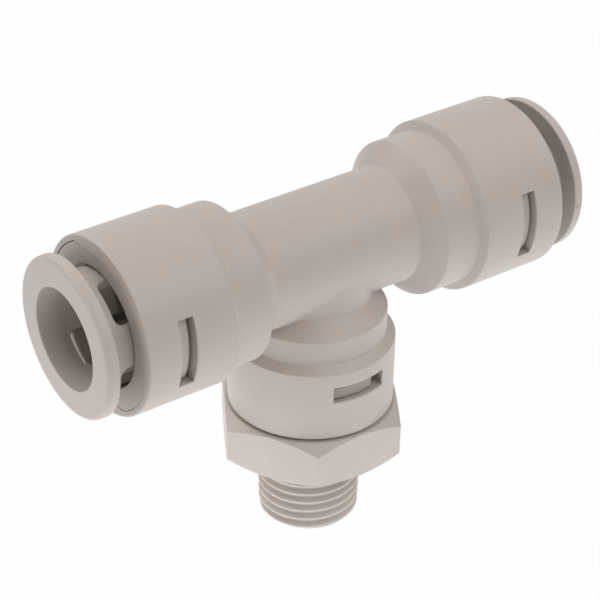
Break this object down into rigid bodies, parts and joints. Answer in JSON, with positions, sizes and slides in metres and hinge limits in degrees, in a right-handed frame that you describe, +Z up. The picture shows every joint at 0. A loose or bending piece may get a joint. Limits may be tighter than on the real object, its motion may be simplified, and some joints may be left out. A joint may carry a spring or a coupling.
{
  "type": "push-to-connect tee fitting",
  "caption": "Moulded push-in tee with a release ring on each end of the run and a swivelling tapered male thread with a hexagon on the leg.",
  "frame": {"origin": "centre of the thread's end face, which is the lowest point of the part", "axes": "+Z up the leg from the thread to the run, +X along the run from the left port to the right port, +Y away from the viewer of the front view"},
  "size_m": [0.071, 0.0224, 0.0501],
  "materials": {
    "body_resin": "satin moulded resin",
    "ring_resin": "satin moulded resin",
    "guide_resin": "satin moulded resin",
    "stem_resin": "satin moulded resin",
    "claw_steel": "bright stainless strip",
    "seal_rubber": "smooth moulded rubber"
  },
  "bodies": {
    "body": {"tee_body": "body_resin", "left_guide_ring": "guide_resin", "right_guide_ring": "guide_resin", "left_lock_claw": "claw_steel", "right_lock_claw": "claw_steel", "left_tube_seal": "seal_rubber", "right_tube_seal": "seal_rubber", "stem_retainer": "guide_resin"},
    "left_ring": {"left_release_ring": "ring_resin"},
    "right_ring": {"right_release_ring": "ring_resin"},
    "stem": {"threaded_stem": "stem_resin", "stem_o_ring": "seal_rubber"}
  },
  "joints": [
    {"name": "left_release_slide", "type": "slide", "parent": "body", "child": "left_ring", "axis": [1, 0, 0], "range_m": [0, 0.0028], "stiffness_N_per_m": 1500},
    {"name": "right_release_slide", "type": "slide", "parent": "body", "child": "right_ring", "axis": [-1, 0, 0], "range_m": [0, 0.0028], "stiffness_N_per_m": 1500},
    {"name": "stem_swivel", "type": "hinge", "parent": "body", "child": "stem", "pos_m": [0, 0, 0.0142], "axis": [0, 0, 1], "continuous": true}
  ]
}
